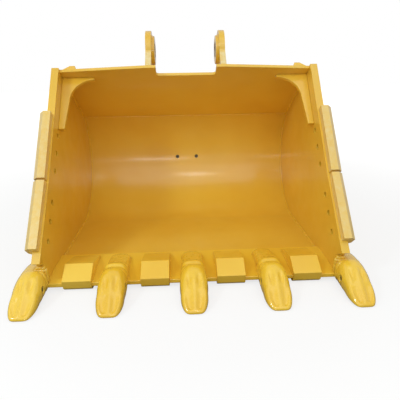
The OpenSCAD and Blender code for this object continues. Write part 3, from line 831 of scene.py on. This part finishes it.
# %% Welds seen from the sides and behind
def circle_path(x, back, height, radius):
    """A circle square to the X axis, closed a little past its start."""
    t = np.linspace(0, 2 * np.pi * 1.02, 60)
    return place(x, back + radius * np.cos(t), height + radius * np.sin(t))


rings = []
for name in ("arm_pin_boss_right", "link_pin_boss_right"):
    radius = (edge_of(name, 1, 1) - edge_of(name, 0, 1)) / 2 + 1
    inner_face = edge_of("hinge_ear_right", 0, 0) - 1
    rings += sided(circle_path(inner_face, middle_of(name, 1), middle_of(name, 2), radius))
weld("weld_bosses", rings, 5)

outer = ROLL_R + SHELL_T
hull = np.vstack([[-330, ROLL_H - outer], roll_arc(outer, math.radians(-90), CREASE),
                  on_top(TOP_LEN - 250, TOP_T)])
weld("weld_shell_edges", sided(corner_path(HALF_INNER - 2, hull)), 5)

strips = []
for node in names("wear_strip"):
    line = np.vstack([[edge_of(node, 0, 1) + 10, ROLL_H - outer],
                      roll_arc(outer, math.radians(-90), math.radians(-14), 40)])
    strips += [corner_path(edge_of(node, end, 0), line) for end in (0, 1)]
weld("weld_wear_strips", strips, 4)

BAR_BEND, BAR_HEAD, BAR_REAR = np.array([-547, 447.5]), np.array([-168, 938]), 236
lean = (BAR_BEND - BAR_HEAD) / np.linalg.norm(BAR_BEND - BAR_HEAD)
square = np.array([-lean[1], lean[0]])
seam = [BAR_HEAD + BAR_REAR * square + d * lean for d in (170, 600)]
weld("weld_bars", sided(corner_path(HALF_INNER + 16, seam)), 7)

lug = "top_corner_lug_right"
x = np.linspace(edge_of(lug, 0, 0) + 4, edge_of(lug, 1, 0) - 4, 5)
weld("weld_lugs", sided(place(x, edge_of(lug, 0, 1) + 2, edge_of(lug, 0, 2) + 6)), 5)

# %% [markdown]
# ## Floor, lamps and camera
#
# A pale floor and large soft lamps, as in a small studio. Gloss enamel shows its lamps, so they
# are big: their reflections turn into broad, soft-edged highlights. The floor is a middle grey, so
# that it throws little light up into the bowl, and it is lifted to nearly white for the eye only.
# A grey card stands behind the two drain holes, also for the eye only. It is painted shade, a dark
# sheet that stands for the shade behind the bucket seen through the holes from the mouth, and it
# neither lights nor shades anything.

# %% Floor and card
FLOOR_HALF = 14.0
FLOOR_GLOW, GLOW_FROM, GLOW_TO = 0.76, 1.6, 5.0  # the lift near and far, in metres
FLOOR_GREY, CARD_GREY = "#7C7C7A", "#868A96"
CARD_HALF, CARD_BACK, CARD_LOW, CARD_HIGH = mm(110, 412, 240, 400)


def stand(name, corners, material):
    """A four-sided sheet of the studio."""
    mesh = bpy.data.meshes.new(name)
    mesh.from_pydata(corners, [], [(0, 1, 2, 3)])
    mesh.materials.append(material)
    put(name, mesh)


def studio_floor():
    """A wide, pale, slightly rough sheet level with the lowest point of the bucket."""
    material, tree, output, place = new_material("studio_floor")
    seen = add(tree, "ShaderNodeLightPath").outputs["Is Camera Ray"]
    away = add(tree, "ShaderNodeVectorMath", {0: place}, operation="LENGTH").outputs["Value"]
    level = remap(tree, away, GLOW_FROM, GLOW_TO, FLOOR_GLOW, 1.0)
    shader = add(tree, "ShaderNodeBsdfPrincipled",
                 {"Base Color": linear(FLOOR_GREY), "Roughness": 0.85,
                  "Emission Color": (1, 1, 1, 1),
                  "Emission Strength": math_node(tree, "MULTIPLY", seen, level)})
    tree.links.new(shader.outputs["BSDF"], output.inputs["Surface"])
    stand("floor", [(x * FLOOR_HALF, y * FLOOR_HALF, ground) for x, y in
                    ((-1, -1), (1, -1), (1, 1), (-1, 1))], material)


def shade_card():
    """A grey card behind the drain holes: painted shade, for the shade behind the bucket seen
    through them. It shows only to the eye and only from in front: all other rays, and the eye from
    behind, pass through it."""
    material, tree, output, _ = new_material("painted_shade_card")
    behind = add(tree, "ShaderNodeNewGeometry").outputs["Backfacing"]
    seen = add(tree, "ShaderNodeLightPath").outputs["Is Camera Ray"]
    unseen = math_node(tree, "SUBTRACT", 1.0, seen)
    grey = add(tree, "ShaderNodeBsdfDiffuse", {"Color": linear(CARD_GREY)})
    glass = add(tree, "ShaderNodeBsdfTransparent")
    pick = add(tree, "ShaderNodeMixShader",
               {0: math_node(tree, "MAXIMUM", behind, unseen), 1: grey.outputs["BSDF"],
                2: glass.outputs["BSDF"]})
    tree.links.new(pick.outputs["Shader"], output.inputs["Surface"])
    low, high = ground + CARD_LOW, ground + CARD_HIGH
    stand("shade_card", [(-CARD_HALF, CARD_BACK, low), (CARD_HALF, CARD_BACK, low),
                   (CARD_HALF, CARD_BACK, high), (-CARD_HALF, CARD_BACK, high)], material)


studio_floor()
shade_card()
print("floor at", round(ground, 4), "card behind the holes at", CARD_BACK)

# %% [markdown]
# The key lamp stands to the left and is a little cool, like daylight from a door. It makes
# the bowl's right side lighter and yellower than its left. The ceiling and front lamps are
# broad and fill the mouth from above. Two small lamps, door and tube, are there for their
# reflections: each draws one soft streak across the rolled back. The sky is white to the
# eye and dimmer as a light, so that the inside of the bowl stays deeper than its rim.

# %% Lamps
def lamp(name, place, target, size, watts, tint="#FFFFFF"):
    """A rectangular soft lamp at place, facing target, of a size (wide, high) in metres."""
    data = bpy.data.lights.new(name, "AREA")
    data.shape = "RECTANGLE"
    data.size, data.size_y = size
    data.energy = watts
    data.color = linear(tint)[:3]
    lit = put(name, data)
    lit.location = place
    way = Vector(np.subtract(target, place))
    lit.rotation_euler = way.to_track_quat("-Z", "Y").to_euler()


def sky(strength_seen, strength_lit):
    """White surroundings: full white to the eye, dimmer as a source of light."""
    world = bpy.data.worlds.new("studio_sky")
    bpy.context.scene.world = world
    world.use_nodes = True
    tree = world.node_tree
    tree.nodes.clear()
    seen = add(tree, "ShaderNodeLightPath").outputs["Is Camera Ray"]
    glow = add(tree, "ShaderNodeBackground",
               {"Color": (1, 1, 1, 1),
                "Strength": remap(tree, seen, 0.0, 1.0, strength_lit, strength_seen)})
    output = add(tree, "ShaderNodeOutputWorld")
    tree.links.new(glow.outputs["Background"], output.inputs["Surface"])


sky(1.0, 0.64)
lamp("key", (-3.1, -3.0, 2.3), (0.3, -0.2, -0.7), (0.7, 0.7), 64, "#DDEEFF")
lamp("ceiling", (0.2, -1.9, 2.6), (0.0, -0.8, -1.0), (3.4, 1.8), 14)
lamp("door", (-0.5, -4.4, -0.1), (-0.2, 0.0, -0.75), (0.9, 0.3), 7)
lamp("tube", (0.2, -3.2, 2.0), (0.0, 0.0, -0.8), (0.5, 0.2), 5)
lamp("front", (0.4, -3.9, 2.0), (0.0, -0.6, -0.8), (3.6, 2.4), 22)
bpy.context.scene.view_settings.view_transform = "Standard"
print("lamps:", [(lit.name, lit.energy) for lit in bpy.data.lights])

# %% [markdown]
# The camera stands at eye level before the mouth, close enough for the perspective to
# splay the sides, and tips down about 18 degrees.

# %% Camera
CAMERA_AT = mm(-35.7, -2368.5, -71.9)
PITCH, YAW, ROLL = np.radians([18.48, 2.52, 0.91])
LENS, SENSOR = 36.65, 36  # focal length and sensor width in millimetres


def camera():
    """A camera with its axes worked out from pitch down, yaw right and roll."""
    ahead = np.array([math.sin(YAW) * math.cos(PITCH), math.cos(YAW) * math.cos(PITCH),
                      -math.sin(PITCH)])
    level = np.array([math.cos(YAW), -math.sin(YAW), 0])
    under = np.cross(ahead, level)
    right = math.cos(ROLL) * level + math.sin(ROLL) * under
    down = math.cos(ROLL) * under - math.sin(ROLL) * level
    data = bpy.data.cameras.new("camera")
    data.lens, data.sensor_width = LENS, SENSOR
    data.clip_end = 100
    eye = put("camera", data)
    axes = np.eye(4)
    axes[:3] = np.column_stack([right, -down, -ahead, CAMERA_AT])
    eye.matrix_world = Matrix(axes.tolist())
    bpy.context.scene.camera = eye


camera()
print("camera at", CAMERA_AT, "lens", LENS)
